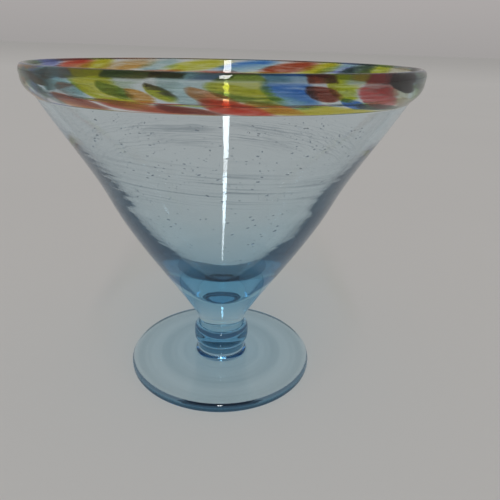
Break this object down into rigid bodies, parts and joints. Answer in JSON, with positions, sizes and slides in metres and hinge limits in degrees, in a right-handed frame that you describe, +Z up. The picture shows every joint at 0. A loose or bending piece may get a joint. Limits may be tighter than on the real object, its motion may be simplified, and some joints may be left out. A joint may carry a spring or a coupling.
{
  "type": "margarita glass",
  "caption": "Hand-blown margarita glass in pale blue seeded glass: a conical bowl on a short neck, a collar and a round foot, with coloured glass chips melted into its rim.",
  "frame": {"origin": "centre of the underside of the foot, on the table", "axes": "+Z up along the axis of the glass, -Y towards the side that the picture shows"},
  "size_m": [0.1312, 0.1312, 0.118],
  "materials": {
    "clear_glass": "blown soda-lime glass, pale blue, clear and seeded",
    "chip_amber": "amber coloured glass, melted in and fire-polished",
    "chip_aqua": "aqua coloured glass, melted in and fire-polished",
    "chip_cobalt": "cobalt coloured glass, melted in and fire-polished",
    "chip_coral": "coral coloured glass, melted in and fire-polished",
    "chip_forest": "forest coloured glass, melted in and fire-polished",
    "chip_green": "green coloured glass, melted in and fire-polished",
    "chip_lime": "lime coloured glass, melted in and fire-polished",
    "chip_maroon": "maroon coloured glass, melted in and fire-polished",
    "chip_mustard": "mustard coloured glass, melted in and fire-polished",
    "chip_navy": "navy coloured glass, melted in and fire-polished",
    "chip_olive": "olive coloured glass, melted in and fire-polished",
    "chip_orange": "orange coloured glass, melted in and fire-polished",
    "chip_peach": "peach coloured glass, melted in and fire-polished",
    "chip_red": "red coloured glass, melted in and fire-polished",
    "chip_rose": "rose coloured glass, melted in and fire-polished",
    "chip_salmon": "salmon coloured glass, melted in and fire-polished",
    "chip_sky": "sky coloured glass, melted in and fire-polished",
    "chip_smoke": "smoke coloured glass, melted in and fire-polished",
    "chip_teal": "teal coloured glass, melted in and fire-polished",
    "chip_umber": "umber coloured glass, melted in and fire-polished",
    "chip_violet": "violet coloured glass, melted in and fire-polished",
    "chip_yellow": "yellow coloured glass, melted in and fire-polished"
  },
  "bodies": {
    "root": {"bowl": "clear_glass", "collar": "clear_glass", "foot": "clear_glass", "lower_chip_01_violet": "chip_violet", "lower_chip_02_smoke": "chip_smoke", "lower_chip_03_salmon": "chip_salmon", "lower_chip_04_red": "chip_red", "lower_chip_05_maroon": "chip_maroon", "lower_chip_06_coral": "chip_coral", "lower_chip_07_orange": "chip_orange", "lower_chip_08_mustard": "chip_mustard", "lower_chip_09_yellow": "chip_yellow", "lower_chip_10_cobalt": "chip_cobalt", "lower_chip_11_forest": "chip_forest", "lower_chip_12_peach": "chip_peach", "lower_chip_13_green": "chip_green", "lower_chip_14_amber": "chip_amber", "lower_chip_15_sky": "chip_sky", "lower_chip_16_red": "chip_red", "lower_chip_17_mustard": "chip_mustard", "lower_chip_18_red": "chip_red", "lower_chip_19_coral": "chip_coral", "lower_chip_20_olive": "chip_olive", "lower_chip_21_cobalt": "chip_cobalt", "lower_chip_22_orange": "chip_orange", "upper_chip_01_teal": "chip_teal", "upper_chip_02_umber": "chip_umber", "upper_chip_03_smoke": "chip_smoke", "upper_chip_04_yellow": "chip_yellow", "upper_chip_05_green": "chip_green", "upper_chip_06_orange": "chip_orange", "upper_chip_07_umber": "chip_umber", "upper_chip_08_aqua": "chip_aqua", "upper_chip_09_salmon": "chip_salmon", "upper_chip_10_olive": "chip_olive", "upper_chip_11_cobalt": "chip_cobalt", "upper_chip_12_maroon": "chip_maroon", "upper_chip_13_lime": "chip_lime", "upper_chip_14_rose": "chip_rose", "upper_chip_15_navy": "chip_navy", "upper_chip_16_smoke": "chip_smoke", "upper_chip_17_umber": "chip_umber", "upper_chip_18_peach": "chip_peach", "upper_chip_19_lime": "chip_lime", "upper_chip_20_forest": "chip_forest", "upper_chip_21_violet": "chip_violet", "upper_chip_22_yellow": "chip_yellow", "upper_chip_23_red": "chip_red", "upper_chip_24_sky": "chip_sky", "upper_chip_25_mustard": "chip_mustard", "upper_chip_26_aqua": "chip_aqua", "upper_chip_27_orange": "chip_orange", "upper_chip_28_yellow": "chip_yellow", "upper_chip_29_coral": "chip_coral", "upper_chip_30_violet": "chip_violet", "upper_chip_31_green": "chip_green"}
  },
  "joints": []
}
